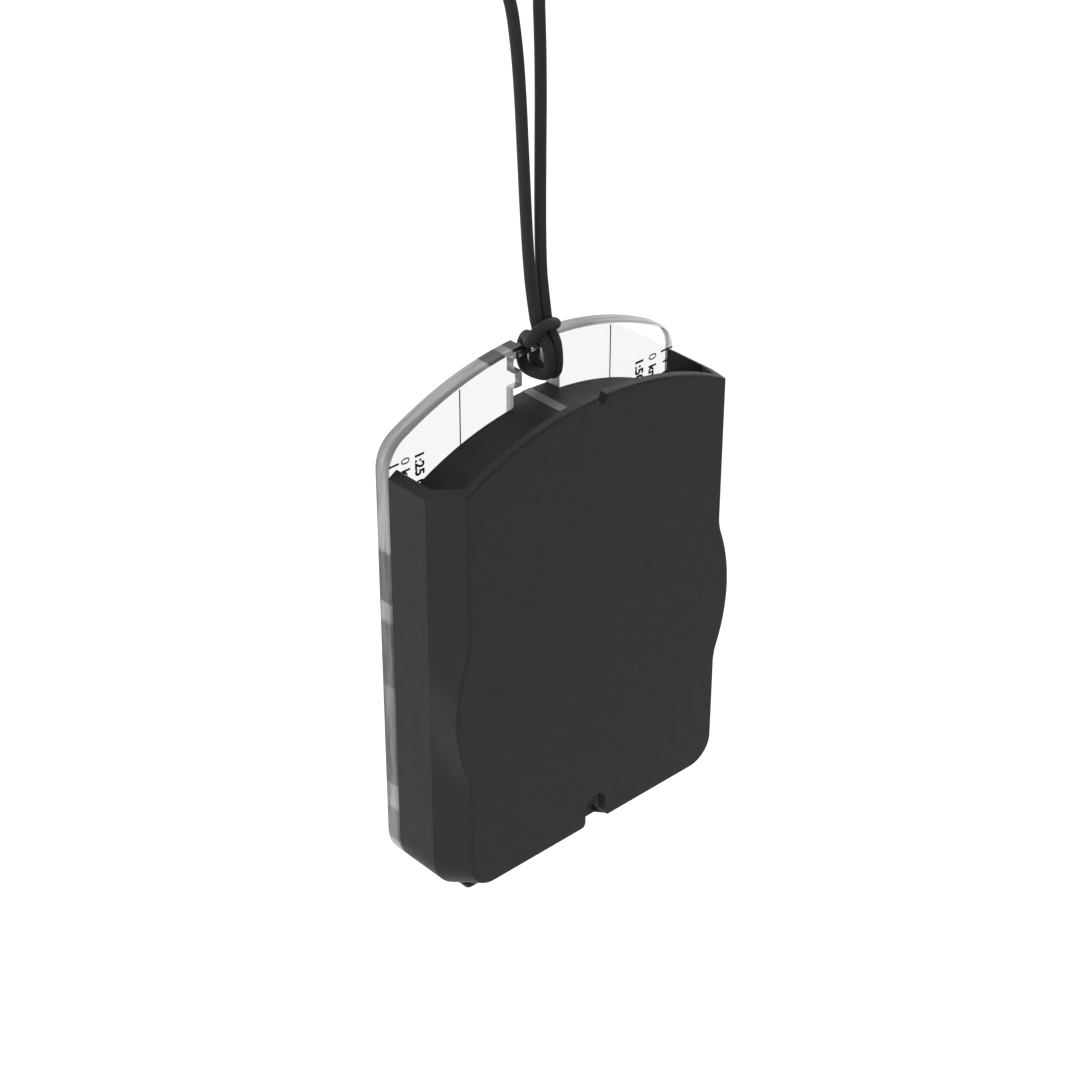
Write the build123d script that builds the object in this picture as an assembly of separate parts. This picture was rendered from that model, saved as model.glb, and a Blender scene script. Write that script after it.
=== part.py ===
from build123d import *
import os
from math import acos, atan, cos, pi, radians, sin, sqrt, tan

# Pocket baseplate compass with a hinged sighting cover, hanging from its lanyard.
# Millimetres. X is the width, Z is up, and the cover lies on the -Y side of the plate.
# Every piece is drawn about the dial: X = 0 and Z = 0 on the dial's axis, and Y = 0 on the
# seam, where the cover meets the front face of the plate. Depths are distances in front of the
# seam, towards -Y. On export all pieces move together, so that the origin is the inner top of
# the lanyard's loop, the point that the compass hangs from.

# Baseplate
plate_width = 59.0
plate_thick = 3.1
plate_below_housing = 10.2
plate_above_housing = 23.6
plate_arch_radius = 56.0
plate_top_corner = 6.0
plate_foot_corner = 7.5
plate_edge_chamfer = 0.35

# Keyhole through the top of the plate, for the lanyard and the cover's latch
bar_drop = 0.2
bar_height = 1.5
bar_thick = 1.45
bar_recess_half_width = 2.85
eye_half_width = 4.65
eye_height = 2.4
neck_half_width = 3.0
neck_height = 2.6
latch_slot_half_width = 4.75
latch_foot_gap = 0.6

# Cover: a deep shell whose bevelled sides bulge round the dial
cover_depth = 14.25
cover_wall = 1.6
cover_crease_depth = 8.3
cover_bevel_in = 2.95
cover_bulge_in = 0.3
cover_blend_radius = 10.0
cover_edge_round = 0.4
seam_gap = 0.15
rim_arch_radius = 56.0
rim_below_top = 3.9
rim_to_top_wall = 5.6
latch_side_gap = 0.35
latch_reach = 2.4
sight_dent_radius = 1.1
sight_dent_depth = 1.4
foot_notch_half_width = 2.2
foot_notch_top = 8.4
foot_notch_reach = 3.65
foot_notch_corner = 1.8
foot_notch_flare = 1.0
toe_width = 3.1
toe_inset = 6.05
toe_lift = 0.35
toe_set_back = 3.05
toe_round = 1.0

# Luminous sighting strip, let into the cover's top wall
strip_width = 1.7
strip_thick = 0.8
strip_proud = 0.12

# Sighting mirror, let into the inside of the cover's front wall
mirror_side_margin = 4.95
mirror_foot_margin = 6.65
mirror_top_margin = 3.0
mirror_thick = 1.1
mirror_let_in = 0.5
mirror_corner = 2.0

# Hinge along the foot of the plate
knuckle_radius = 1.9
pin_radius = 0.75
pin_chamfer = 0.2
hinge_clearance = 0.25
cover_knuckle_half = 7.0
ear_length = 6.5
knuckle_gap = 0.25
web_overlap = 1.0

# Clearances of fits, and how far a cut runs past what it cuts
running_clearance = 0.08
seat_clearance = 0.04
cut_margin = 1.0

# Dial housing, turning in the plate
housing_lift = 0.35
bulge_clearance = 1.6
mirror_clearance = 1.9
bezel_bevel_height = 2.8
bezel_bevel_in = 1.5
bezel_foot_bevel = 0.5
flute_count = 36
flute_radius = 1.1
flute_depth = 0.55
skirt_wall = 1.8
ledge_height = 1.6
ledge_width = 2.5
bezel_wall = 4.7
scale_ring_thick = 0.6
scale_ring_rim = 0.5
retainer_overlap = 2.1
retainer_side_gap = 0.3
retainer_thick = 0.8
retainer_play = 0.1

# Capsule, filled with damping liquid
capsule_wall = 1.3
capsule_floor = 1.2
boss_floor = 2.0
boss_inset = 0.7
lid_thick = 1.5
lid_crown = 0.5
lid_crown_bevel = 2.5
spigot_height = 1.8
seal_section = 0.8
plug_radius = 0.9
plug_angle = 40.0
card_thick = 0.3

# Needle on its pivot
pivot_radius = 0.45
pivot_cone = 0.8
pivot_socket = 1.2
pivot_play = 0.1
jewel_radius = 0.9
jewel_thick = 0.9
jewel_cup_radius = 0.5
jewel_cup_depth = 0.4
hub_radius = 2.3
hub_height = 2.4
hub_front_gap = 0.4
hub_cap = 0.7
hub_chamfer = 0.35
blade_end_gap = 0.8
blade_half_width = 2.5
blade_tip_half_width = 0.3
blade_thick = 0.4
magnet_length = 17.0
magnet_half_width = 1.3
magnet_thick = 0.9
magnet_hole_radius = 1.0

# Index mark on the plate, at the foot of the dial
index_width = 1.8
index_length = 4.0
index_proud = 0.6
index_let_in = 0.4
index_gap = 0.8
index_chamfer = 0.2

# Lanyard: a round cord, hitched round the bar of the keyhole. A rise is a height above the
# plate's top edge.
cord_radius = 0.9
leg_lead = 3.8
leg_stand_off = 3.6
leg_front_rise = -1.2
leg_front_bend = 1.3
leg_foot_bend = 1.3
leg_floor_gap = 0.65
leg_bar_gap = 0.1
leg_back_rise = 0.4
leg_end_y = 1.3
leg_end_rise = 1.7
collar_half_length = 2.5
collar_half_depth = 2.0
collar_tilt = 30.0
collar_y = -0.7
collar_rise = 1.9
# X, Y and rise of the right strand, from the hitch to the top of the loop. The left mirrors it.
strand_route = [
    (1.07, -0.87, 4.1),
    (1.13, -0.23, 7.5),
    (1.15, 0.35, 11.4),
    (1.47, 0.80, 18.9),
    (1.72, 1.10, 28.9),
    (1.98, 1.38, 39.4),
    (2.25, 1.85, 46.9),
    (2.70, 2.75, 53.9),
    (5.50, 3.25, 59.1),
    (6.90, 3.40, 64.2),
    (5.50, 3.40, 69.6),
    (0.00, 3.40, 72.2),
]
bend_share = 0.45

# Sizes and places that follow, across the plate and up it
cover_bulge_radius = plate_width / 2 - cover_bulge_in
bezel_radius = cover_bulge_radius - cover_wall - bulge_clearance
capsule_bore_radius = bezel_radius - bezel_wall
bore_radius = capsule_bore_radius - ledge_width
plate_below_dial = bezel_radius + plate_below_housing
plate_above_dial = bezel_radius + plate_above_housing
arch_centre_z = plate_above_dial - plate_arch_radius
rim_above_dial = plate_above_dial - rim_below_top
rim_centre_z = rim_above_dial - rim_arch_radius
top_wall_radius = rim_arch_radius - rim_to_top_wall
top_wall_z = rim_centre_z + top_wall_radius
eye_top = plate_above_dial - bar_drop - bar_height
eye_foot = eye_top - eye_height
neck_foot = eye_foot - neck_height
latch_slot_foot = top_wall_z - cover_wall - latch_foot_gap
latch_half_width = latch_slot_half_width - latch_side_gap
mirror_half_width = plate_width / 2 - cover_bevel_in - cover_wall - mirror_side_margin
mirror_foot_z = cover_wall + cover_bevel_in + mirror_foot_margin - plate_below_dial
foot_notch_top_z = foot_notch_top - plate_below_dial
cover_front_foot_z = cover_bevel_in - plate_below_dial
toe_centre = plate_width / 2 - toe_inset
index_top = -bezel_radius - index_gap
hinge_z = -plate_below_dial - knuckle_radius - hinge_clearance
ear_start = cover_knuckle_half + knuckle_gap
hinge_half = ear_start + ear_length
hang_y = strand_route[-1][1]

# Radii of the dial housing and the capsule
scale_ring_radius = bezel_radius - bezel_bevel_in - scale_ring_rim
skirt_radius = bore_radius - running_clearance
skirt_bore = skirt_radius - skirt_wall
retainer_radius = bore_radius + retainer_overlap
capsule_radius = capsule_bore_radius - seat_clearance
capsule_inner = capsule_radius - capsule_wall
boss_radius = skirt_bore - seat_clearance
well_radius = boss_radius - capsule_wall
blade_length = well_radius - blade_end_gap

# Depths, from the cover's front back to the pivot
bevel_angle = atan(cover_bevel_in / (cover_depth - cover_crease_depth))
inner_front = cover_depth - cover_wall
mirror_face = inner_front + mirror_let_in - seat_clearance - mirror_thick
lid_front = mirror_face - mirror_clearance
bezel_front = lid_front - lid_crown
lid_back = bezel_front - lid_thick
spigot_back = lid_back - spigot_height
hub_front = spigot_back - hub_front_gap
blade_depth = hub_front - hub_height
jewel_front = hub_front - hub_cap - seat_clearance
jewel_back = jewel_front - jewel_thick
pivot_tip_depth = jewel_back + jewel_cup_depth - pivot_play
foot_notch_back = cover_depth - foot_notch_reach
toe_front = cover_depth - toe_set_back

# Depths, from the plate's back forward
skirt_back = plate_thick - retainer_thick - 2 * retainer_play
boss_back = plate_thick - boss_inset
well_depth = boss_floor - boss_back
step_depth = ledge_height + capsule_floor


def slab(outline, near, far):
    """Extrude an outline in X and Z from one depth to a greater one."""
    return extrude(Plane.XZ.offset(near) * outline, amount=far - near)


def block(x_span, z_span, near, far):
    """A rectangular block between two depths."""
    width = x_span[1] - x_span[0]
    height = z_span[1] - z_span[0]
    outline = Pos(sum(x_span) / 2, sum(z_span) / 2) * Rectangle(width, height)
    return slab(outline, near, far)


def disc(radius, near, far, x=0.0, z=0.0):
    """A disc with its axis along Y, between two depths."""
    return slab(Pos(x, z) * Circle(radius), near, far)


def turned(profile):
    """Revolve a closed profile of (radius, depth) points about the dial's axis."""
    outline = Polyline([(radius, -depth) for radius, depth in profile], close=True)
    return revolve(make_face(outline), Axis.Y)


def bar_along_x(radius, x_span, y, z):
    """A round bar parallel to X."""
    bar = Cylinder(radius, x_span[1] - x_span[0], rotation=(0, 90, 0))
    return Pos(sum(x_span) / 2, y, z) * bar


def edges_at_depth(solid, depth):
    """The edges of a solid that lie in the plane at one depth."""
    return solid.edges().filter_by_position(Axis.Y, -depth, -depth)


# ---------------------------------------------------------------- plate


def plate_outline():
    """Straight sides under an arched top, with four rounded corners."""
    half = plate_width / 2
    shoulder = arch_centre_z + sqrt(plate_arch_radius**2 - half**2)
    face = make_face(
        [
            Line((-half, shoulder), (-half, -plate_below_dial)),
            Line((-half, -plate_below_dial), (half, -plate_below_dial)),
            Line((half, -plate_below_dial), (half, shoulder)),
            ThreePointArc((half, shoulder), (0, plate_above_dial), (-half, shoulder)),
        ]
    )
    foot = face.vertices().filter_by(lambda corner: corner.Y < 0)
    face = fillet(foot, plate_foot_corner)
    top = face.vertices().filter_by(lambda corner: corner.Y > 0)
    return fillet(top, plate_top_corner)


def keyhole():
    """Eye under the bar, neck for the cord, slot for the latch, and the recess behind the bar."""
    back = -plate_thick - cut_margin
    eye = (-eye_half_width, eye_half_width)
    neck = (-neck_half_width, neck_half_width)
    latch = (-latch_slot_half_width, latch_slot_half_width)
    recess = (-bar_recess_half_width, bar_recess_half_width)
    above = plate_above_dial + cut_margin
    cut = block(eye, (eye_foot, eye_top), back, cut_margin)
    cut += block(neck, (neck_foot, eye_foot), back, cut_margin)
    cut += block(latch, (latch_slot_foot, neck_foot), back, cut_margin)
    cut += block(recess, (eye_foot, above), back, -bar_thick)
    return cut + block(recess, (eye_top + bar_height, above), back, cut_margin)


def knuckle(x_span, near, far):
    """A hinge knuckle and the web, between two depths, that joins it to what it carries."""
    root = hinge_z + knuckle_radius + hinge_clearance + web_overlap
    barrel = bar_along_x(knuckle_radius, x_span, 0, hinge_z)
    return barrel + block(x_span, (hinge_z, root), near, far)


def make_baseplate():
    body = slab(plate_outline(), -plate_thick, 0)
    rims = edges_at_depth(body, 0) + edges_at_depth(body, -plate_thick)
    body = chamfer(rims, plate_edge_chamfer)
    for x_span in ((-hinge_half, -ear_start), (ear_start, hinge_half)):
        body += knuckle(x_span, -knuckle_radius, -hinge_clearance)
    body -= disc(bore_radius, -plate_thick - cut_margin, cut_margin)
    counterbore = retainer_radius + retainer_side_gap
    body -= disc(counterbore, -plate_thick - cut_margin, retainer_play - skirt_back)
    body -= keyhole()
    index_half = index_width / 2 + seat_clearance
    index_span = (index_top - index_length - seat_clearance, index_top + seat_clearance)
    body -= block((-index_half, index_half), index_span, -index_let_in, cut_margin)
    pin_hole = (-hinge_half - cut_margin, hinge_half + cut_margin)
    return body - bar_along_x(pin_radius + seat_clearance / 2, pin_hole, 0, hinge_z)


def make_index_mark():
    half = index_width / 2
    mark = block((-half, half), (index_top - index_length, index_top), -index_let_in, index_proud)
    return chamfer(edges_at_depth(mark, index_proud), index_chamfer)


def make_hinge_pin():
    end = hinge_half - knuckle_gap
    pin = bar_along_x(pin_radius, (-end, end), 0, hinge_z)
    return chamfer(pin.edges().filter_by(GeomType.CIRCLE), pin_chamfer)


# ---------------------------------------------------------------- cover


def arc_about(centre, radius, start_angle, end_angle):
    """An arc through three points of a circle, with its angles in radians."""
    angles = (start_angle, (start_angle + end_angle) / 2, end_angle)
    points = [(centre[0] + radius * cos(a), centre[1] + radius * sin(a)) for a in angles]
    return ThreePointArc(*points)


def crease_depth(inset):
    """The depth at which the sides begin to lean in, on the outer skin or a skin inside it."""
    return cover_crease_depth - inset * tan(bevel_angle / 2)


def front_shrink(inset):
    """How far the straight sides of a skin stand in from the plate's edge at the skin's front."""
    return inset + (cover_depth - inset - crease_depth(inset)) * tan(bevel_angle)


def cover_section(shrink, inset, swollen):
    """A skin's section in X and Z, with its straight sides shrunk in from the plate's edge.

    The swollen section bulges round the dial between two blends. The plain one has the same
    break points on straight sides, so a ruled loft joins the two side for side.
    """
    half = plate_width / 2 - shrink
    floor = shrink - plate_below_dial
    corner = plate_foot_corner - shrink
    top = plate_above_dial + 2 * cover_bevel_in
    bulge = cover_bulge_radius - inset
    blend = cover_blend_radius + inset
    turn = acos((plate_width / 2 - front_shrink(inset) + blend) / (bulge + blend))
    blend_end = (bulge + blend) * sin(turn)
    bulge_end = bulge * sin(turn)
    edges = [
        Line((0, floor), (half - corner, floor)),
        arc_about((half - corner, floor + corner), corner, -pi / 2, 0),
    ]
    if swollen:
        edges += [
            Line((half, floor + corner), (half, -blend_end)),
            arc_about((half + blend, -blend_end), blend, pi, pi - turn),
            arc_about((0, 0), bulge, -turn, turn),
            arc_about((half + blend, blend_end), blend, pi + turn, pi),
            Line((half, blend_end), (half, top)),
        ]
    else:
        stops = (floor + corner, -blend_end, -bulge_end, bulge_end, blend_end, top)
        edges += [Line((half, low), (half, high)) for low, high in zip(stops, stops[1:])]
    edges.append(Line((half, top), (0, top)))
    return make_face(edges + [mirror(edge, Plane.YZ) for edge in edges])


def cover_form(inset):
    """The cover's outer form, or its inside when inset is the wall's thickness."""
    crease = crease_depth(inset)
    plain = cover_section(inset, inset, False)
    swollen = cover_section(front_shrink(inset), inset, True)
    front_plane = Plane.XZ.offset(cover_depth - inset)
    bevel = loft([Plane.XZ.offset(crease) * plain, front_plane * swollen], ruled=True)
    return slab(plain, seam_gap, crease) + bevel


def rim_disc(radius, near, far):
    """A disc about the centre of the rim's arch."""
    return disc(radius, near, far, z=rim_centre_z)


def mirror_outline(margin):
    """The mirror's outline: straight sides under an arch that runs along the cover's top wall."""
    half = mirror_half_width + margin
    arch = top_wall_radius - cover_wall - mirror_top_margin + margin
    shoulder = rim_centre_z + sqrt(arch**2 - half**2)
    foot = mirror_foot_z - margin
    face = make_face(
        [
            Line((-half, shoulder), (-half, foot)),
            Line((-half, foot), (half, foot)),
            Line((half, foot), (half, shoulder)),
            ThreePointArc((half, shoulder), (0, rim_centre_z + arch), (-half, shoulder)),
        ]
    )
    return fillet(face.vertices(), mirror_corner)


def foot_notch():
    """The notch through the front wall at the cover's foot: a round crown over a flared mouth."""
    below = -plate_below_dial - cut_margin
    near, far = foot_notch_back, cover_depth + cut_margin
    slot = block((-foot_notch_half_width, foot_notch_half_width), (below, foot_notch_top_z), near, far)
    crown = slot.edges().filter_by(Axis.Y).group_by(Axis.Z)[-1]
    notch = fillet(crown, foot_notch_corner)
    mouth_half = foot_notch_half_width + foot_notch_flare
    flare_z = cover_front_foot_z + foot_notch_flare
    notch += block((-mouth_half, mouth_half), (below, flare_z), near, far)
    for x in (-mouth_half, mouth_half):
        notch -= disc(foot_notch_flare, near, far, x, flare_z)
    return notch


def top_wall(near, far):
    """The arched wall that closes the cover's top, between two depths."""
    return rim_disc(top_wall_radius, near, far) - rim_disc(top_wall_radius - cover_wall, near, far)


def toe(side):
    """A rounded toe at one end of the foot wall, on the bevel: side is +1 or -1."""
    x_span = (side * toe_centre - toe_width / 2, side * toe_centre + toe_width / 2)
    z_span = (toe_lift - plate_below_dial, cover_wall - plate_below_dial)
    solid = block(x_span, z_span, cover_crease_depth, toe_front)
    rooted = edges_at_depth(solid, cover_crease_depth) + solid.edges().group_by(Axis.Z)[-1]
    return fillet(solid.edges() - rooted, toe_round)


def make_cover_shell():
    outer = cover_form(0) & rim_disc(rim_arch_radius, seam_gap, cover_depth)
    outer = fillet(edges_at_depth(outer, cover_depth), cover_edge_round)
    shell = outer - (cover_form(cover_wall) - top_wall(0, inner_front))
    latch = (-latch_half_width, latch_half_width)
    shell += block(latch, (0, plate_above_dial), -latch_reach, seam_gap) & top_wall(-latch_reach, seam_gap)
    groove_half = strip_width / 2 + seat_clearance
    groove_span = (top_wall_z - strip_thick - seat_clearance, rim_above_dial)
    shell -= block((-groove_half, groove_half), groove_span, -latch_reach - cut_margin, inner_front)
    dent_z = rim_above_dial + sight_dent_radius - sight_dent_depth
    shell -= disc(sight_dent_radius, inner_front - cut_margin, cover_depth + cut_margin, z=dent_z)
    shell -= foot_notch()
    mirror_seat = mirror_outline(2 * seat_clearance)
    shell -= slab(mirror_seat, inner_front - cut_margin, inner_front + mirror_let_in)
    shell += toe(-1) + toe(1)
    shell += knuckle((-cover_knuckle_half, cover_knuckle_half), hinge_clearance, knuckle_radius)
    pin_hole = (-cover_knuckle_half - cut_margin, cover_knuckle_half + cut_margin)
    return shell - bar_along_x(pin_radius + running_clearance, pin_hole, 0, hinge_z)


def make_sight_strip():
    half = strip_width / 2
    z_span = (top_wall_z - strip_thick, top_wall_z + strip_proud)
    return block((-half, half), z_span, -latch_reach, inner_front - seat_clearance)


def make_mirror():
    return slab(mirror_outline(0), mirror_face, mirror_face + mirror_thick)


# ---------------------------------------------------------------- dial housing


def make_bezel_ring():
    ring = turned(
        [
            (skirt_bore, -skirt_back),
            (skirt_radius, -skirt_back),
            (skirt_radius, housing_lift),
            (bezel_radius - bezel_foot_bevel, housing_lift),
            (bezel_radius, housing_lift + bezel_foot_bevel),
            (bezel_radius, bezel_front - bezel_bevel_height),
            (bezel_radius - bezel_bevel_in, bezel_front),
            (scale_ring_radius, bezel_front),
            (scale_ring_radius, bezel_front - scale_ring_thick),
            (capsule_bore_radius, bezel_front - scale_ring_thick),
            (capsule_bore_radius, ledge_height),
            (skirt_bore, ledge_height),
        ]
    )
    flute_centre = bezel_radius + flute_radius - flute_depth
    flutes = [
        disc(
            flute_radius,
            housing_lift - cut_margin,
            bezel_front + cut_margin,
            flute_centre * cos(2 * pi * turn / flute_count),
            flute_centre * sin(2 * pi * turn / flute_count),
        )
        for turn in range(flute_count)
    ]
    return ring - flutes


def make_scale_ring():
    inner = capsule_bore_radius + seat_clearance
    outer = scale_ring_radius - seat_clearance
    back = bezel_front - scale_ring_thick
    return disc(outer, back, bezel_front) - disc(inner, back, bezel_front)


def make_retaining_ring():
    back = -skirt_back - retainer_thick
    ring = disc(retainer_radius, back, -skirt_back) - disc(skirt_bore, back, -skirt_back)
    return chamfer(edges_at_depth(ring, back), retainer_play)


def plug_place():
    """X and Z of the filler plug, between the capsule's well and its wall."""
    radius = (well_radius + capsule_inner) / 2
    return radius * cos(radians(plug_angle)), radius * sin(radians(plug_angle))


def make_capsule_base():
    cup = turned(
        [
            (0, -boss_back),
            (boss_radius, -boss_back),
            (boss_radius, ledge_height),
            (capsule_radius, ledge_height),
            (capsule_radius, lid_back),
            (capsule_inner, lid_back),
            (capsule_inner, step_depth),
            (well_radius, step_depth),
            (well_radius, well_depth),
            (0, well_depth),
        ]
    )
    pivot_hole = pivot_radius + seat_clearance / 2
    cup -= disc(pivot_hole, well_depth - pivot_socket, well_depth + cut_margin)
    plug_hole = plug_radius + seat_clearance / 2
    x, z = plug_place()
    return cup - disc(plug_hole, ledge_height - cut_margin, step_depth + cut_margin, x, z)


def make_filler_plug():
    x, z = plug_place()
    return disc(plug_radius, ledge_height, step_depth, x, z)


def make_capsule_lid():
    spigot = capsule_inner - seat_clearance
    groove = spigot - seal_section
    groove_front = lid_back - seal_section / 2
    groove_back = groove_front - seal_section - 2 * seat_clearance
    return turned(
        [
            (0, spigot_back),
            (spigot, spigot_back),
            (spigot, groove_back),
            (groove, groove_back),
            (groove, groove_front),
            (spigot, groove_front),
            (spigot, lid_back),
            (capsule_radius, lid_back),
            (capsule_radius, bezel_front),
            (capsule_radius - lid_crown_bevel, lid_front),
            (0, lid_front),
        ]
    )


def make_seal_ring():
    section = seal_section / 2 - seat_clearance
    centre_depth = lid_back - seal_section - seat_clearance
    ring_radius = capsule_inner - section - seat_clearance / 2
    ring = Torus(ring_radius, section, rotation=(90, 0, 0))
    return Pos(0, -centre_depth, 0) * ring


def make_direction_card():
    card = disc(well_radius - seat_clearance, well_depth, well_depth + card_thick)
    pivot_hole = pivot_radius + seat_clearance
    return card - disc(pivot_hole, well_depth - cut_margin, well_depth + cut_margin)


def make_pivot_pin():
    foot = well_depth - pivot_socket + seat_clearance
    return turned(
        [
            (0, foot),
            (pivot_radius, foot),
            (pivot_radius, pivot_tip_depth - pivot_cone),
            (0, pivot_tip_depth),
        ]
    )


# ---------------------------------------------------------------- needle


def make_jewel():
    return turned(
        [
            (jewel_cup_radius, jewel_back),
            (jewel_radius, jewel_back),
            (jewel_radius, jewel_front),
            (0, jewel_front),
            (0, jewel_back + jewel_cup_depth),
        ]
    )


def make_needle_hub():
    bore = jewel_radius + seat_clearance
    pocket = hub_front - hub_cap
    return turned(
        [
            (bore, blade_depth),
            (hub_radius, blade_depth),
            (hub_radius, hub_front - hub_chamfer),
            (hub_radius - hub_chamfer, hub_front),
            (0, hub_front),
            (0, pocket),
            (bore, pocket),
        ]
    )


def make_needle_half(side):
    """One half of the needle, from the hub to its tip: side is +1 for north, -1 for south."""
    outline = make_face(
        Polyline(
            [
                (-blade_half_width, side * seat_clearance),
                (blade_half_width, side * seat_clearance),
                (blade_tip_half_width, side * blade_length),
                (-blade_tip_half_width, side * blade_length),
            ],
            close=True,
        )
    )
    blade = slab(outline, blade_depth, blade_depth + blade_thick)
    hub_hole = hub_radius + seat_clearance
    return blade - disc(hub_hole, blade_depth - cut_margin, blade_depth + cut_margin)


def make_needle_magnet():
    half = magnet_length / 2
    back = blade_depth - magnet_thick
    bar = block((-magnet_half_width, magnet_half_width), (-half, half), back, blade_depth)
    return bar - disc(magnet_hole_radius, back - cut_margin, blade_depth + cut_margin)


# ---------------------------------------------------------------- lanyard


def lanyard_route():
    """The cord's points, from the left of the hitch, over the loop, to the right of the hitch."""
    right = [(x, y, plate_above_dial + rise) for x, y, rise in strand_route]
    left = [(-x, y, z) for x, y, z in right]
    return left + right[-2::-1]


def bend_radii(points):
    """For each corner of a route, the largest arc that its two runs allow."""
    radii = []
    for before, corner, after in zip(points, points[1:], points[2:]):
        run_in = Vector(*corner) - Vector(*before)
        run_out = Vector(*after) - Vector(*corner)
        half_turn = radians(run_in.get_angle(run_out)) / 2
        radii.append(bend_share * min(run_in.length, run_out.length) / tan(half_turn))
    return radii


def tube(path):
    """A round cord along a path."""
    start = Plane(path @ 0, z_dir=path % 0)
    return sweep(start * Circle(cord_radius), path)


def lanyard_path():
    points = lanyard_route()
    return FilletPolyline(*points, radius=bend_radii(points))


def hitch_leg(side):
    """The cord from a strand's foot, through the neck, to the back of the collar."""
    floor = neck_foot + cord_radius + leg_floor_gap
    back = bar_thick + cord_radius + leg_bar_gap
    foot, above = [
        Vector(side * x, y, plate_above_dial + rise) for x, y, rise in strand_route[:2]
    ]
    lead = foot - (above - foot).normalized() * leg_lead
    points = [
        foot,
        lead,
        (lead.X, -leg_stand_off, plate_above_dial + leg_front_rise),
        (lead.X, -leg_stand_off, floor),
        (lead.X, back, floor),
        (lead.X, back, plate_above_dial + leg_back_rise),
        (lead.X, leg_end_y, plate_above_dial + leg_end_rise),
    ]
    radii = [leg_front_bend, leg_front_bend, leg_foot_bend, leg_foot_bend, leg_foot_bend / 2]
    return tube(FilletPolyline(*points, radius=radii))


def hitch_collar():
    """The bight of the hitch: a ring of cord round both strands, higher on the right."""
    ring = SlotOverall(2 * collar_half_length, 2 * collar_half_depth).wire()
    section = Plane(ring @ 0, z_dir=ring % 0) * Circle(cord_radius)
    place = Pos(0, collar_y, plate_above_dial + collar_rise) * Rot(0, -collar_tilt, 0)
    return place * sweep(section, ring)


def make_lanyard_hitch():
    return hitch_leg(-1) + hitch_leg(1) + hitch_collar()


def make_lanyard_cord():
    path = lanyard_path()
    cord = tube(path)
    expected = pi * cord_radius**2 * path.length
    print("lanyard bend radii", [round(radius, 1) for radius in bend_radii(lanyard_route())])
    print("lanyard length", round(path.length, 1), "volume over section x length", cord.volume / expected)
    return cord


def main():
    hang_z = lanyard_path().bounding_box().max.Z - cord_radius
    print("dial axis is at Y", -hang_y, "Z", -hang_z)
    pieces = {
        "baseplate": make_baseplate(),
        "index_mark": make_index_mark(),
        "hinge_pin": make_hinge_pin(),
        "cover_shell": make_cover_shell(),
        "sight_strip": make_sight_strip(),
        "sighting_mirror": make_mirror(),
        "bezel_ring": make_bezel_ring(),
        "degree_scale_ring": make_scale_ring(),
        "retaining_ring": make_retaining_ring(),
        "capsule_base": make_capsule_base(),
        "capsule_lid": make_capsule_lid(),
        "capsule_seal": make_seal_ring(),
        "filler_plug": make_filler_plug(),
        "direction_card": make_direction_card(),
        "pivot_pin": make_pivot_pin(),
        "jewel_bearing": make_jewel(),
        "needle_hub": make_needle_hub(),
        "needle_north": make_needle_half(1),
        "needle_south": make_needle_half(-1),
        "needle_magnet": make_needle_magnet(),
        "lanyard_hitch": make_lanyard_hitch(),
        "lanyard_cord": make_lanyard_cord(),
    }
    os.makedirs("parts", exist_ok=True)
    for node, piece in pieces.items():
        export_step(Pos(0, -hang_y, -hang_z) * piece, f"parts/{node}.step")


main()
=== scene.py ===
from math import cos, pi, radians, sin

import bmesh
import bpy
from mathutils import Matrix, Vector


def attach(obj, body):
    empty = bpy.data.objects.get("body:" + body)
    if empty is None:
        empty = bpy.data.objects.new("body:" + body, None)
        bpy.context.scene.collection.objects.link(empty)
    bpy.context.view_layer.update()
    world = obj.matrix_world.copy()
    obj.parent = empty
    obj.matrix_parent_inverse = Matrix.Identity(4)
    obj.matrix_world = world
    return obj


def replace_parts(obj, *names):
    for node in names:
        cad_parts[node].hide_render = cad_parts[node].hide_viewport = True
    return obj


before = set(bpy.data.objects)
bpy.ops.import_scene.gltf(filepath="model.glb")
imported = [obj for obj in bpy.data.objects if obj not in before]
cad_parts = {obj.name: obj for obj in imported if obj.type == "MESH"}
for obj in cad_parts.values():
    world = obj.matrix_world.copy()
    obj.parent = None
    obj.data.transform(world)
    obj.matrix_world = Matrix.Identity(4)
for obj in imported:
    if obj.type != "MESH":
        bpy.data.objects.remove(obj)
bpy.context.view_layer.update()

# The looks of a baseplate compass with a hinged sighting cover, hung from its lanyard.
#
# Sizes are in millimetres, and are turned into metres as each piece is made. Most pieces are
# placed about the dial: X across, depth in front of the seam between plate and cover, and Z up.
MM = 0.001
SEAM_Y = -3.4
DIAL_Z = -120.2855
PLATE_TOP = 49.6  # the plate's top edge, about the dial
WHITE = (1, 1, 1, 1)


def place(x, depth, z):
    """A point about the dial, as a point of the frame."""
    return Vector((x, SEAM_Y - depth, DIAL_Z + z)) * MM


# ---------------------------------------------------------------- camera

# Fitted to the photograph, in metres.
CAMERA_AT = (-0.234797, -0.258188, 0.110839)
CAMERA_RIGHT = Vector((0.73517, -0.67788, 0.00209))
CAMERA_UP = Vector((0.35831, 0.39121, 0.84768))
CAMERA_LENS = 86.95


def make_camera():
    back = CAMERA_RIGHT.cross(CAMERA_UP)
    turn = Matrix((CAMERA_RIGHT, CAMERA_UP, back)).transposed().to_4x4()
    camera = bpy.data.objects.new("camera", bpy.data.cameras.new("camera"))
    camera.matrix_world = Matrix.Translation(CAMERA_AT) @ turn
    camera.data.lens = CAMERA_LENS
    camera.data.sensor_width = 36.0
    camera.data.clip_start = 0.01
    bpy.context.scene.collection.objects.link(camera)
    bpy.context.scene.camera = camera


make_camera()
bpy.context.scene.view_settings.view_transform = "Standard"


# ---------------------------------------------------------------- node trees


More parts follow.
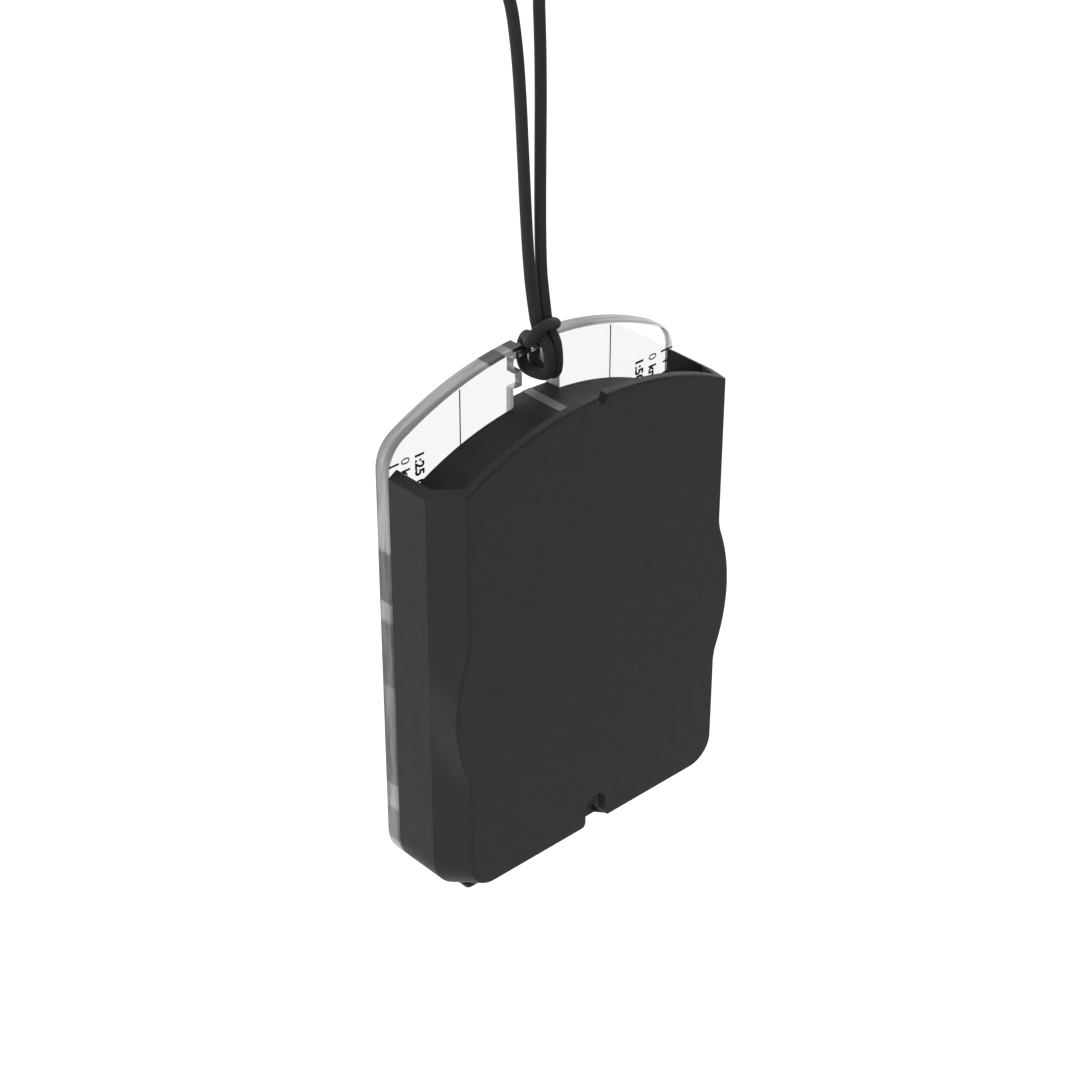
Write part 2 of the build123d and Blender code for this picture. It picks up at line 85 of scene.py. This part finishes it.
class Tree:
    """Short calls for building a node tree."""

    def __init__(self, tree):
        self.tree = tree

    def add(self, kind, **values):
        """A node, with its own settings and its inputs' values by name."""
        node = self.tree.nodes.new("ShaderNode" + kind)
        for key, value in values.items():
            if hasattr(node, key):
                setattr(node, key, value)
            else:
                node.inputs[key.replace("_", " ")].default_value = value
        return node

    def link(self, source, target):
        self.tree.links.new(source, target)

    def feed(self, value, socket):
        """Gives a socket a value, or another node's output."""
        if isinstance(value, bpy.types.NodeSocket):
            self.link(value, socket)
        else:
            socket.default_value = value

    def math(self, operation, *values):
        node = self.add("Math", operation=operation)
        for socket, value in zip(node.inputs, values):
            self.feed(value, socket)
        return node.outputs["Value"]

    def mix(self, factor, first, second, blend="MIX"):
        """Two colours mixed by a factor."""
        node = self.add("Mix", data_type="RGBA", blend_type=blend)
        self.feed(factor, node.inputs["Factor"])
        self.feed(first, node.inputs[6])
        self.feed(second, node.inputs[7])
        return node.outputs[2]

    def either(self, factor, first, second):
        """The first shader where the factor is 0, and the second where it is 1."""
        node = self.add("MixShader")
        for source, socket in zip((factor, first, second), node.inputs):
            self.link(source, socket)
        return node.outputs["Shader"]

    def axes(self, kind):
        """The X, Y and Z outputs of a texture coordinate."""
        node = self.add("SeparateXYZ")
        self.link(self.add("TexCoord").outputs[kind], node.inputs["Vector"])
        return node.outputs

    def coordinates(self, stretch=(1, 1, 1), kind="Object"):
        """Coordinates on the object, scaled along each axis."""
        mapping = self.add("Mapping")
        mapping.inputs["Scale"].default_value = stretch
        self.link(self.add("TexCoord").outputs[kind], mapping.inputs["Vector"])
        return mapping.outputs["Vector"]

    def noise(self, scale, detail=3.0, rough=0.55, vector=None):
        node = self.add("TexNoise", Scale=scale, Detail=detail, Roughness=rough)
        self.link(vector or self.coordinates(), node.inputs["Vector"])
        return node.outputs["Fac"]

    def ramp(self, source, stops):
        """A ramp of (position, value) stops, where a value is a grey or a colour."""
        node = self.add("ValToRGB")
        elements = node.color_ramp.elements
        while len(elements) < len(stops):
            elements.new(0.5)
        for element, (position, value) in zip(elements, stops):
            element.position = position
            element.color = (*value, 1) if isinstance(value, tuple) else (value, value, value, 1)
        self.link(source, node.inputs["Fac"])
        return node.outputs["Color"]

    def seen_rays(self):
        """1 for rays from the camera, through glass or off gloss, and 0 for the light on things."""
        path = self.add("LightPath").outputs
        bent = self.math("MAXIMUM", path["Is Transmission Ray"], path["Is Glossy Ray"])
        return self.math("MAXIMUM", path["Is Camera Ray"], bent)


class Surface(Tree):
    """A material's node tree, with calls that reach its shader."""

    def __init__(self, name):
        self.material = bpy.data.materials.new(name)
        self.material.use_nodes = True
        super().__init__(self.material.node_tree)
        self.shader = self.tree.nodes["Principled BSDF"]

    def vary(self, name, source):
        """Drives one of the shader's inputs."""
        self.link(source, self.shader.inputs[name])

    def set(self, **values):
        """Sets the shader's inputs that are the same all over."""
        for key, value in values.items():
            self.shader.inputs[key.replace("_", " ")].default_value = value

    def bump(self, source, height, strength=1.0):
        """Relief of a height in millimetres."""
        node = self.add("Bump", Strength=strength, Distance=height * MM)
        self.link(source, node.inputs["Height"])
        self.vary("Normal", node.outputs["Normal"])

    def show(self, shader):
        """Puts another shader on the surface in place of the plain one."""
        self.link(shader, self.tree.nodes["Material Output"].inputs["Surface"])

    def let_light_through(self, tint):
        """Lets lamp light pass straight through, to light what is inside."""
        through = self.add("BsdfTransparent", Color=(*tint, 1)).outputs["BSDF"]
        shadow_ray = self.add("LightPath").outputs["Is Shadow Ray"]
        self.show(self.either(shadow_ray, self.shader.outputs["BSDF"], through))


# ---------------------------------------------------------------- materials

ACRYLIC_IOR = 1.49
SAPPHIRE_IOR = 1.77


def grained(name, dark, light, rough, grain, height, patch=90, **shader):
    """A surface with fine grain, faint patches of colour and uneven gloss."""
    surface = Surface(name)
    patches = surface.noise(patch, 4.0)
    surface.vary("Base Color", surface.ramp(patches, [(0.3, dark), (0.7, light)]))
    wear = surface.noise(patch * 6, 5.0, 0.65)
    surface.vary("Roughness", surface.ramp(wear, [(0.3, rough[0]), (0.72, rough[1])]))
    surface.bump(surface.noise(grain, 2.0), height)
    surface.set(**shader)
    return surface.material


def clear(name, tint, rough, ior):
    """A clear plastic or glass, with faint scuffs in its gloss."""
    surface = Surface(name)
    scuffs = surface.noise(700, 6.0, 0.7, surface.coordinates((1, 1, 0.25)))
    surface.vary("Roughness", surface.ramp(scuffs, [(0.45, rough[0]), (0.8, rough[1])]))
    cloud = surface.noise(60, 2.0)
    pale = tuple(min(1.0, value * 1.015) for value in tint)
    surface.vary("Base Color", surface.ramp(cloud, [(0.3, tint), (0.7, pale)]))
    surface.set(Transmission_Weight=1.0, IOR=ior)
    surface.let_light_through(pale)
    return surface.material


# How bright the plate's upright sawn edges are, by height about the dial, as painted shade: they
# are painted darker where the black housing shows through the sides, and in the keyhole.
UPRIGHT_SPAN = 100.0
UPRIGHT_PAINTED_SHADE = [
    (-30.4, 0.85),
    (-30.0, 0.35),
    (-24.0, 0.4),
    (-23.4, 0.95),
    (-19.4, 0.85),
    (-18.8, 0.34),
    (-10.0, 0.28),
    (-0.8, 0.5),
    (0.0, 0.24),
    (11.2, 0.24),
    (12.0, 0.8),
    (14.8, 0.85),
    (15.2, 0.2),
    (23.8, 0.24),
    (24.4, 0.95),
    (43.4, 0.95),
    (43.6, 0.25),
    (44.9, 0.25),
    (45.1, 0.95),
    (45.5, 0.95),
    (45.6, 0.25),
    (46.4, 0.25),
    (46.5, 0.95),
    (47.2, 0.95),
    (47.3, 0.25),
    (48.0, 0.25),
]
KEYHOLE_REACH = 4.8  # an upright edge nearer to the middle than this is the keyhole's
SIDE_REACH = 28.0  # and one further out than this is a side of the plate
# Painted shade on the top edge, by the distance left of the middle.
TOP_SPAN = 40.0
TOP_PAINTED_SHADE = [
    (0.0, 1.0),
    (0.8, 0.02),
    (4.6, 0.02),
    (4.8, 0.85),
    (6.2, 0.85),
    (6.4, 0.12),
    (9.4, 0.16),
    (9.6, 1.0),
]
TOP_EDGE_FROM = 48.5  # an edge above this height is the top edge
# Painted light: how much of that is kept, by the distance right of the middle, so that the right
# side is painted paler.
RIGHT_PAINTED_LIGHT = [(24.0, 0.55), (27.2, 0.95)]
EDGE_CLEARNESS = (0.65, 0.65, 0.65, 1)  # how clear an edge is, as a share of how bright it is


def shares(stops, start, span):
    """Stops in millimetres, as shares of a span."""
    return [((at - start) / span, value) for at, value in stops]


def sawn_acrylic():
    """Clear acrylic with polished faces, and pale, half clear sawn edges with painted shade and
    light.
    """
    surface = Surface("plate_acrylic")
    at = surface.axes("Object")
    right = surface.math("MULTIPLY", at["X"], 1 / (TOP_SPAN * MM))
    left = surface.math("MULTIPLY", at["X"], -1 / (TOP_SPAN * MM))
    rise = surface.math(
        "MULTIPLY_ADD", at["Z"], 1 / (UPRIGHT_SPAN * MM), 0.5 - DIAL_Z / UPRIGHT_SPAN
    )

    aside = surface.math("ABSOLUTE", left)
    keyhole = surface.math("LESS_THAN", aside, KEYHOLE_REACH / TOP_SPAN)
    side = surface.math("GREATER_THAN", aside, SIDE_REACH / TOP_SPAN)
    top = surface.math("GREATER_THAN", rise, 0.5 + TOP_EDGE_FROM / UPRIGHT_SPAN)
    # The pale sawn edge, darkened by painted shade by height, in the keyhole and along the top
    # edge.
    painted_shade_by_height = surface.ramp(rise, shares(UPRIGHT_PAINTED_SHADE, -UPRIGHT_SPAN / 2, UPRIGHT_SPAN))
    edge = surface.mix(surface.math("MAXIMUM", keyhole, side), WHITE, painted_shade_by_height)
    edge = surface.mix(top, edge, surface.ramp(left, shares(TOP_PAINTED_SHADE, 0, TOP_SPAN)))
    # Painted light by side: the plate's right side stays paler than the rest of its edges.
    painted_light_by_side = surface.ramp(right, shares(RIGHT_PAINTED_LIGHT, 0, TOP_SPAN))
    edge = surface.mix(1.0, edge, painted_light_by_side, "MULTIPLY")
    streaks = surface.noise(700, 2.0, 0.5, surface.coordinates((0.1, 1, 0.1)))
    edge = surface.mix(1.0, edge, surface.ramp(streaks, [(0.4, 0.4), (0.58, 1.0)]), "MULTIPLY")
    see_through = surface.mix(1.0, edge, EDGE_CLEARNESS, "MULTIPLY")

    facing = surface.math("ABSOLUTE", surface.axes("Normal")["Y"])
    polished = surface.ramp(facing, [(0.74, 0.0), (0.9, 1.0)])
    surface.vary("Base Color", surface.mix(polished, edge, (0.86, 0.865, 0.86, 1)))
    surface.vary("Roughness", surface.ramp(polished, [(0.0, 0.3), (1.0, 0.012)]))
    surface.vary("Transmission Weight", surface.mix(polished, see_through, WHITE))
    surface.bump(surface.noise(1800, 3.0, 0.6, surface.coordinates((1, 0.2, 1))), 0.004)
    surface.set(IOR=ACRYLIC_IOR)
    return surface.material


def cord_material():
    """Black braided sheath: fine slanting strands, and a little fuzz."""
    surface = Surface("cord_sheath")
    weave = surface.add(
        "TexWave", wave_type="BANDS", bands_direction="DIAGONAL", Scale=4.0, Distortion=0.6
    )
    run_and_turn = surface.coordinates((300, 1, 1), "UV")
    surface.link(run_and_turn, weave.inputs["Vector"])
    strands = weave.outputs["Fac"]
    tones = [(0.3, (0.0135, 0.0135, 0.0138)), (0.7, (0.0225, 0.0225, 0.023))]
    surface.vary("Base Color", surface.ramp(surface.noise(2600, 3.0), tones))
    surface.vary("Roughness", surface.ramp(strands, [(0.2, 0.62), (0.8, 0.74)]))
    surface.bump(strands, 0.02, 0.5)
    surface.set(Sheen_Weight=0.04, Sheen_Roughness=0.5, Specular_IOR_Level=0.2)
    return surface.material


# Name, darkest and lightest colour, least and most roughness, the grain's scale and its height.
COVER = grained(
    "cover_plastic", (0.0118, 0.012, 0.0122), (0.0134, 0.0136, 0.0138), (0.5, 0.58), 5200, 0.012,
    Specular_IOR_Level=0.195,
)
BEZEL = grained(
    "bezel_plastic", (0.012, 0.012, 0.0125), (0.018, 0.018, 0.0185), (0.42, 0.55), 4200, 0.01
)
PLATE = sawn_acrylic()
CAPSULE = clear("capsule_acrylic", (0.97, 0.98, 0.98), (0.005, 0.03), ACRYLIC_IOR)
INK = grained(
    "printed_ink", (0.006, 0.006, 0.007), (0.014, 0.014, 0.015), (0.35, 0.5), 6000, 0.002
)
RED_INK = grained("red_ink", (0.52, 0.02, 0.015), (0.6, 0.035, 0.022), (0.35, 0.5), 6000, 0.002)
SCALE_WHITE = grained(
    "scale_white", (0.78, 0.78, 0.76), (0.85, 0.85, 0.83), (0.4, 0.5), 5000, 0.003
)
# Luminous paint on the marks, also used on the sight strip as a painted highlight on the cover's
# black top.
LUMINOUS_AND_PAINTED_HIGHLIGHT = grained(
    "luminous_paint_and_painted_highlight", (0.1, 0.112, 0.094), (0.13, 0.142, 0.118), (0.45, 0.6), 7000, 0.006,
    patch=900,
)
STEEL = grained(
    "pin_steel", (0.42, 0.42, 0.43), (0.55, 0.55, 0.56), (0.22, 0.4), 3000, 0.002, Metallic=1.0
)
BRASS = grained(
    "turned_brass", (0.5, 0.34, 0.12), (0.62, 0.44, 0.18), (0.22, 0.36), 3500, 0.002, Metallic=1.0
)
NEEDLE_RED = grained(
    "needle_red", (0.55, 0.018, 0.012), (0.64, 0.03, 0.02), (0.3, 0.4), 5000, 0.002
)
NEEDLE_WHITE = grained(
    "needle_white", (0.76, 0.76, 0.74), (0.83, 0.83, 0.81), (0.3, 0.4), 5000, 0.002
)
MAGNET = grained(
    "magnet_steel", (0.1, 0.1, 0.105), (0.16, 0.16, 0.165), (0.3, 0.45), 2600, 0.004, Metallic=1.0
)
RUBBER = grained(
    "seal_rubber", (0.012, 0.012, 0.012), (0.02, 0.02, 0.02), (0.6, 0.75), 4000, 0.004
)
JEWEL = clear("jewel_sapphire", (0.95, 0.78, 0.82), (0.004, 0.02), SAPPHIRE_IOR)
MIRROR = grained(
    "mirror_silver", (0.84, 0.86, 0.86), (0.87, 0.885, 0.885), (0.015, 0.06), 900, 0.0003,
    Metallic=1.0,
)
CARD = grained("card_white", (0.84, 0.85, 0.84), (0.88, 0.89, 0.88), (0.4, 0.5), 5000, 0.003)
CORD = cord_material()

FINISHES = {
    "baseplate": PLATE,
    "index_mark": LUMINOUS_AND_PAINTED_HIGHLIGHT,
    "hinge_pin": STEEL,
    "cover_shell": COVER,
    # A painted highlight: the sight strip is given pale paint where the black cover's top catches
    # the light.
    "sight_strip": LUMINOUS_AND_PAINTED_HIGHLIGHT,
    "sighting_mirror": MIRROR,
    "bezel_ring": BEZEL,
    "degree_scale_ring": SCALE_WHITE,
    "retaining_ring": BEZEL,
    "capsule_base": CAPSULE,
    "capsule_lid": CAPSULE,
    "capsule_seal": RUBBER,
    "filler_plug": BRASS,
    "pivot_pin": STEEL,
    "jewel_bearing": JEWEL,
    "needle_hub": BRASS,
    "needle_north": NEEDLE_RED,
    "needle_south": NEEDLE_WHITE,
    "needle_magnet": MAGNET,
}
for node, material in FINISHES.items():
    for material_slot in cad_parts[node].material_slots:
        material_slot.material = material


# ---------------------------------------------------------------- lanyard

CORD_DIAMETER = 1.8
# The right strand, up from the hitch to the loop's top: X, Y and Z of the frame.
STRAND = [
    (1.07, -4.27, -66.5855),
    (1.13, -3.63, -63.1855),
    (1.15, -3.05, -59.2855),
    (1.36, -2.60, -51.7855),
    (1.66, -2.30, -41.7855),
    (1.98, -2.02, -31.2855),
    (2.25, -1.55, -23.7855),
    (2.70, -0.65, -16.7855),
    (5.50, -0.15, -11.5855),
    (6.90, 0.00, -6.4855),
    (5.50, 0.00, -1.0855),
    (0.00, 0.00, 1.5145),
]
# The hitch: down in front of the bar, through the neck and up behind it, and across the front of
# both strands as the bight. Each point is X, Y from the seam, and height above the plate's top.
HITCH = [
    (-1.07, -0.87, 4.1),
    (-1.05, -1.4, 2.3),
    (-0.9, -3.1, 0.9),
    (-0.76, -3.75, -1.0),
    (-0.76, -3.75, -3.7),
    (-0.8, -2.4, -4.8),
    (-0.85, 1.2, -5.2),
    (-0.9, 2.4, -4.2),
    (-0.8, 2.4, -1.2),
    (-0.6, 1.8, 0.3),
    (-1.3, 0.4, 1.0),
    (-2.5, -0.9, 0.6),
    (-2.9, -1.9, 1.9),
    (-2.3, -2.7, 3.4),
    (-0.5, -3.0, 4.0),
    (1.4, -2.6, 3.2),
    (2.15, -1.5, 2.7),
    (2.15, -0.3, 2.1),
    (2.15, 1.1, 1.1),
    (2.2, 2.2, 0.0),
    (2.2, 2.4, -1.4),
    (1.45, 2.4, -4.3),
    (1.15, 1.2, -5.3),
    (0.75, -2.4, -5.1),
    (0.72, -3.75, -4.0),
    (0.72, -3.75, -1.0),
    (0.9, -3.1, 0.9),
    (1.05, -1.4, 2.3),
    (1.07, -0.87, 4.1),
]


def cord_curve(name, points):
    """A length of the cord along a smooth line through space."""
    curve = bpy.data.curves.new(name, "CURVE")
    curve.dimensions = "3D"
    curve.bevel_depth = CORD_DIAMETER / 2 * MM
    curve.bevel_resolution = 6
    curve.use_fill_caps = True
    spline = curve.splines.new("NURBS")
    spline.points.add(len(points) - 1)
    for point, position in zip(spline.points, points):
        point.co = (*(Vector(position) * MM), 1.0)
    spline.order_u = 3
    spline.use_endpoint_u = True
    spline.resolution_u = 10
    curve.materials.append(CORD)
    obj = bpy.data.objects.new(name, curve)
    bpy.context.scene.collection.objects.link(obj)
    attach(obj, "base")
    return obj


def make_lanyard():
    """The taut loop above the compass, and the lark's head that ties it to the plate."""
    loop = [(-x, y, z) for x, y, z in STRAND] + STRAND[-2::-1]
    lanyard = cord_curve("lanyard_loop_cord", loop)
    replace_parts(lanyard, "lanyard_cord")
    knot = [(x, y + SEAM_Y, DIAL_Z + PLATE_TOP + rise) for x, y, rise in HITCH]
    hitch = cord_curve("lanyard_larks_head", knot)
    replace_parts(hitch, "lanyard_hitch")


make_lanyard()


# ---------------------------------------------------------------- prints

# Depths of the faces that carry ink.
CARD_FRONT = -0.1
PLATE_FRONT = 0.0
NEEDLE_FRONT = 3.91
RING_FRONT = 9.61
MIRROR_FACE = 12.01
# Ink stands this far off its face, at its back and its front.
INK_BACK = 0.004
INK_FRONT = 0.024
CAP_HEIGHT = 0.73  # a capital's height in Blender's own font, as a share of the font's size
WELD = 1e-7


class Print:
    """Ink on a face square to the depth axis: bars, rings and characters in one mesh.
    The face looks forwards where towards is 1, and backwards where it is -1."""

    def __init__(self, depth, towards=1, back=INK_BACK, front=INK_FRONT):
        self.bm = bmesh.new()
        self.near = depth + towards * back
        self.far = depth + towards * front

    def solid(self, outline):
        """A closed outline of (x, z) points, as thick as the ink."""
        near, far = (
            [self.bm.verts.new(place(x, depth, z)) for x, z in outline]
            for depth in (self.near, self.far)
        )
        self.bm.faces.new(near)
        self.bm.faces.new(far[::-1])
        for i in range(len(outline)):
            j = (i + 1) % len(outline)
            self.bm.faces.new((near[i], near[j], far[j], far[i]))

    def bar(self, start, end, width):
        """A straight line of ink between two points."""
        start, end = Vector(start), Vector(end)
        side = (end - start).orthogonal().normalized() * width / 2
        self.solid([start + side, start - side, end - side, end + side])

    def spoke(self, angle, inner, outer, width):
        """A tick on a dial, at a clockwise angle from the top."""
        along = Vector((sin(angle), cos(angle)))
        self.bar(along * inner, along * outer, width)

    def ring(self, inner, outer, steps=180):
        """A circle of ink about the dial."""
        section = [(inner, self.near), (outer, self.near), (outer, self.far), (inner, self.far)]
        rows = []
        for i in range(steps):
            x, z = sin(2 * pi * i / steps), cos(2 * pi * i / steps)
            rows.append([self.bm.verts.new(place(r * x, depth, r * z)) for r, depth in section])
        for row, after in zip(rows, rows[1:] + rows[:1]):
            for i in range(4):
                j = (i + 1) % 4
                self.bm.faces.new((row[i], row[j], after[j], after[i]))

    def text(self, words, at, height, angle=0.0, weight=0.0, align="CENTER"):
        """Characters at a point, turned clockwise, with a height in millimetres."""
        curve = bpy.data.curves.new("characters", "FONT")
        curve.body = words
        curve.size = height / CAP_HEIGHT
        curve.offset = weight
        curve.align_x = align
        curve.resolution_u = 3
        curve.extrude = 0.5  # only tells the front from the back, for the ink's own depths
        holder = bpy.data.objects.new("characters", curve)
        mesh = bpy.data.meshes.new_from_object(holder)
        for vertex in mesh.vertices:
            x, y = vertex.co.x, vertex.co.y - height / 2
            depth = self.far if vertex.co.z > 0 else self.near
            across = at[0] + x * cos(angle) + y * sin(angle)
            rise = at[1] - x * sin(angle) + y * cos(angle)
            vertex.co = place(across, depth, rise)
        self.bm.from_mesh(mesh)
        bpy.data.objects.remove(holder)
        bpy.data.curves.remove(curve)
        bpy.data.meshes.remove(mesh)

    def piece(self, name, material, body):
        """The finished print, as a piece of the object."""
        bmesh.ops.remove_doubles(self.bm, verts=self.bm.verts, dist=WELD)
        bmesh.ops.recalc_face_normals(self.bm, faces=self.bm.faces)
        mesh = bpy.data.meshes.new(name)
        self.bm.to_mesh(mesh)
        self.bm.free()
        mesh.materials.append(material)
        obj = bpy.data.objects.new(name, mesh)
        bpy.context.scene.collection.objects.link(obj)
        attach(obj, body)
        return obj


MAP_EDGE = 29.2  # where the map scales' ticks start, from the middle
MAP_FOOT = -27.0  # and how far down they go
MAP_TICK_WIDTH = 0.34
MAP_LETTERS = 1.75
UNIT_LETTERS = 1.6
UNIT_DROP = 1.4
BOLD = 0.08
BEZEL_REACH = 28.0  # a number nearer to the dial's middle than this would be under the bezel
GUIDE_X = 15.4
GUIDES = [(46.8, 29.5), (-29.5, -34.5)]
GUIDE_WIDTH = 0.22


def map_scale(ink, words, words_at, side, zero, step, ticks, column, lift):
    """A map scale down one edge of the plate: a tick for every 100 m, longer at each half and
    whole kilometre, and a column of numbers at the kilometres."""
    whole, half, short = ticks
    for i in range(int((zero - MAP_FOOT) / step) + 1):
        length = whole if i % 10 == 0 else (half if i % 5 == 0 else short)
        z = zero - i * step
        ink.bar((MAP_EDGE * side, z), ((MAP_EDGE - length) * side, z), MAP_TICK_WIDTH)
        if i % 10 == 0 and Vector((column, z)).length > BEZEL_REACH:
            ink.text(str(i // 10), (column, z + lift), MAP_LETTERS, pi / 2)
    ink.text("km", (column, zero + lift - UNIT_DROP), UNIT_LETTERS, pi / 2, BOLD, "LEFT")
    ink.text(words, words_at, MAP_LETTERS, pi / 2, BOLD, "LEFT")


def print_plate():
    """The map scales, and two pairs of guide lines above and below the dial."""
    ink = Print(PLATE_FRONT)
    map_scale(
        ink, "1:25 000", (-23.3, 39.5), side=-1, zero=38.9, step=4.0,
        ticks=(1.9, 1.7, 1.5), column=-26.0, lift=0.0,
    )
    map_scale(
        ink, "1:50 000", (21.9, 38.6), side=1, zero=38.1, step=2.0,
        ticks=(2.6, 2.3, 2.1), column=24.8, lift=-0.2,
    )
    for x in (-GUIDE_X, GUIDE_X):
        for top, foot in GUIDES:
            ink.bar((x, top), (x, foot), GUIDE_WIDTH)
    ink.piece("plate_map_scales", INK, "base")


RING_TICKS_OUTER = 23.8
RING_LETTERS_AT = 22.1
RING_LETTERS = 1.3
RING_WEIGHT = 0.035


def print_degrees():
    """A tick for every two degrees, longer at the tens, and a number or letter for every 20."""
    ink = Print(RING_FRONT)
    for degrees in range(0, 360, 2):
        length, width = (1.0, 0.16) if degrees % 10 == 0 else (0.6, 0.11)
        ink.spoke(radians(degrees), RING_TICKS_OUTER - length, RING_TICKS_OUTER, width)
    for degrees in range(0, 360, 20):
        angle = radians(degrees)
        at = RING_LETTERS_AT * sin(angle), RING_LETTERS_AT * cos(angle)
        words = {0: "N", 180: "S"}.get(degrees, str(degrees))
        ink.text(words, at, RING_LETTERS, angle, RING_WEIGHT)
    ink.piece("degree_scale_marks", INK, "dial_housing")


CARD_THICKNESS = 0.25
CARD_HOLE = 0.49
CARD_RADIUS = 15.5
MERIDIAN_REACH = 15.0
MERIDIAN_WIDTH = 0.18
ARROW_SIDE = 3.2
ARROW_FOOT = -13.5
ARROW_SHOULDER = 9.5
ARROW_WIDTH = 0.35
ARROW_HEAD = [(-4.6, 9.7), (0, 14.9), (4.6, 9.7), (3.6, 9.7), (0, 13.6), (-3.6, 9.7)]


def make_card():
    """The direction card, with its meridian lines and orienting arrow."""
    card = Print(CARD_FRONT, -1, 0.0, CARD_THICKNESS)
    card.ring(CARD_HOLE, CARD_RADIUS)
    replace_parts(card.piece("card_disc", CARD, "dial_housing"), "direction_card")

    meridians = Print(CARD_FRONT)
    for x in (-12, -9, -6, 6, 9, 12):
        half = (MERIDIAN_REACH**2 - x**2) ** 0.5
        meridians.bar((x, -half), (x, half), MERIDIAN_WIDTH)
    meridians.piece("card_meridian_lines", INK, "dial_housing")

    arrow = Print(CARD_FRONT)
    for x in (-ARROW_SIDE, ARROW_SIDE):
        arrow.bar((x, ARROW_FOOT), (x, ARROW_SHOULDER), ARROW_WIDTH)
    arrow.solid(ARROW_HEAD)
    arrow.piece("card_orienting_arrow", RED_INK, "dial_housing")


NEEDLE_MARK = [(-0.9, 4.2), (0.9, 4.2), (0.45, 10.8), (-0.45, 10.8)]


def print_needle():
    """The luminous bar on the north half of the needle."""
    mark = Print(NEEDLE_FRONT)
    mark.solid(NEEDLE_MARK)
    mark.piece("needle_luminous_mark", LUMINOUS_AND_PAINTED_HIGHLIGHT, "needle")


SIGHTING_LINE = ((0, -23.4), (0, 34.6))
SIGHTING_WIDTH = 0.25


def print_mirror():
    """The line up the middle of the mirror, which looks back at the dial."""
    line = Print(MIRROR_FACE, -1)
    line.bar(*SIGHTING_LINE, SIGHTING_WIDTH)
    line.piece("mirror_sighting_line", INK, "cover")


print_plate()
print_degrees()
make_card()
print_needle()
print_mirror()


# ---------------------------------------------------------------- light and floor, in metres

# Each lamp's name, place, size across and power in watts.
LAMPS = [
    ("key_lamp", (-1.35, -0.45, 0.1), 0.9, 9),
    ("side_lamp", (-0.7, 1.1, -0.1), 0.9, 3),
    ("back_lamp", (1.0, 0.5, 1.0), 0.8, 10),
]
LAMPS_AIM = Vector((0, 0, -0.11))
WORLD_LIGHT = 0.62
FLOOR_HALF = 6.0
FLOOR_Z = -0.5
FLOOR_GLOW = 0.7


def make_lamps():
    for name, location, size, power in LAMPS:
        lamp = bpy.data.lights.new(name, "AREA")
        lamp.shape = "DISK"
        lamp.size = size
        lamp.energy = power
        obj = bpy.data.objects.new(name, lamp)
        obj.location = location
        obj.rotation_euler = (LAMPS_AIM - obj.location).to_track_quat("-Z", "Y").to_euler()
        bpy.context.scene.collection.objects.link(obj)


def make_world():
    """White to the camera, glass and gloss, and a softer light on things."""
    world = bpy.data.worlds.new("studio")
    bpy.context.scene.world = world
    world.use_nodes = True
    tree = Tree(world.node_tree)
    light = world.node_tree.nodes["Background"]
    light.inputs["Color"].default_value = WHITE
    light.inputs["Strength"].default_value = WORLD_LIGHT
    white = tree.add("Background", Color=WHITE, Strength=1.0)
    shown = tree.either(
        tree.seen_rays(), light.outputs["Background"], white.outputs["Background"]
    )
    tree.link(shown, world.node_tree.nodes["World Output"].inputs["Surface"])


def make_floor():
    """A pale floor, a little lighter to the camera, so that the object's shadow still shows."""
    mesh = bpy.data.meshes.new("floor")
    signs = [(-1, -1), (1, -1), (1, 1), (-1, 1)]
    corners = [(FLOOR_HALF * x, FLOOR_HALF * y, FLOOR_Z) for x, y in signs]
    mesh.from_pydata(corners, [], [(0, 1, 2, 3)])
    surface = Surface("floor_white")
    surface.vary("Base Color", surface.ramp(surface.noise(3, 2.0), [(0.2, 0.45), (0.8, 0.47)]))
    surface.set(Roughness=0.9)
    glow = surface.add("Emission")
    strength = surface.math("MULTIPLY", surface.seen_rays(), FLOOR_GLOW)
    surface.link(strength, glow.inputs["Strength"])
    both = surface.add("AddShader")
    surface.link(surface.shader.outputs["BSDF"], both.inputs[0])
    surface.link(glow.outputs["Emission"], both.inputs[1])
    surface.show(both.outputs["Shader"])
    mesh.materials.append(surface.material)
    floor = bpy.data.objects.new("floor", mesh)
    bpy.context.scene.collection.objects.link(floor)


make_lamps()
make_world()
make_floor()
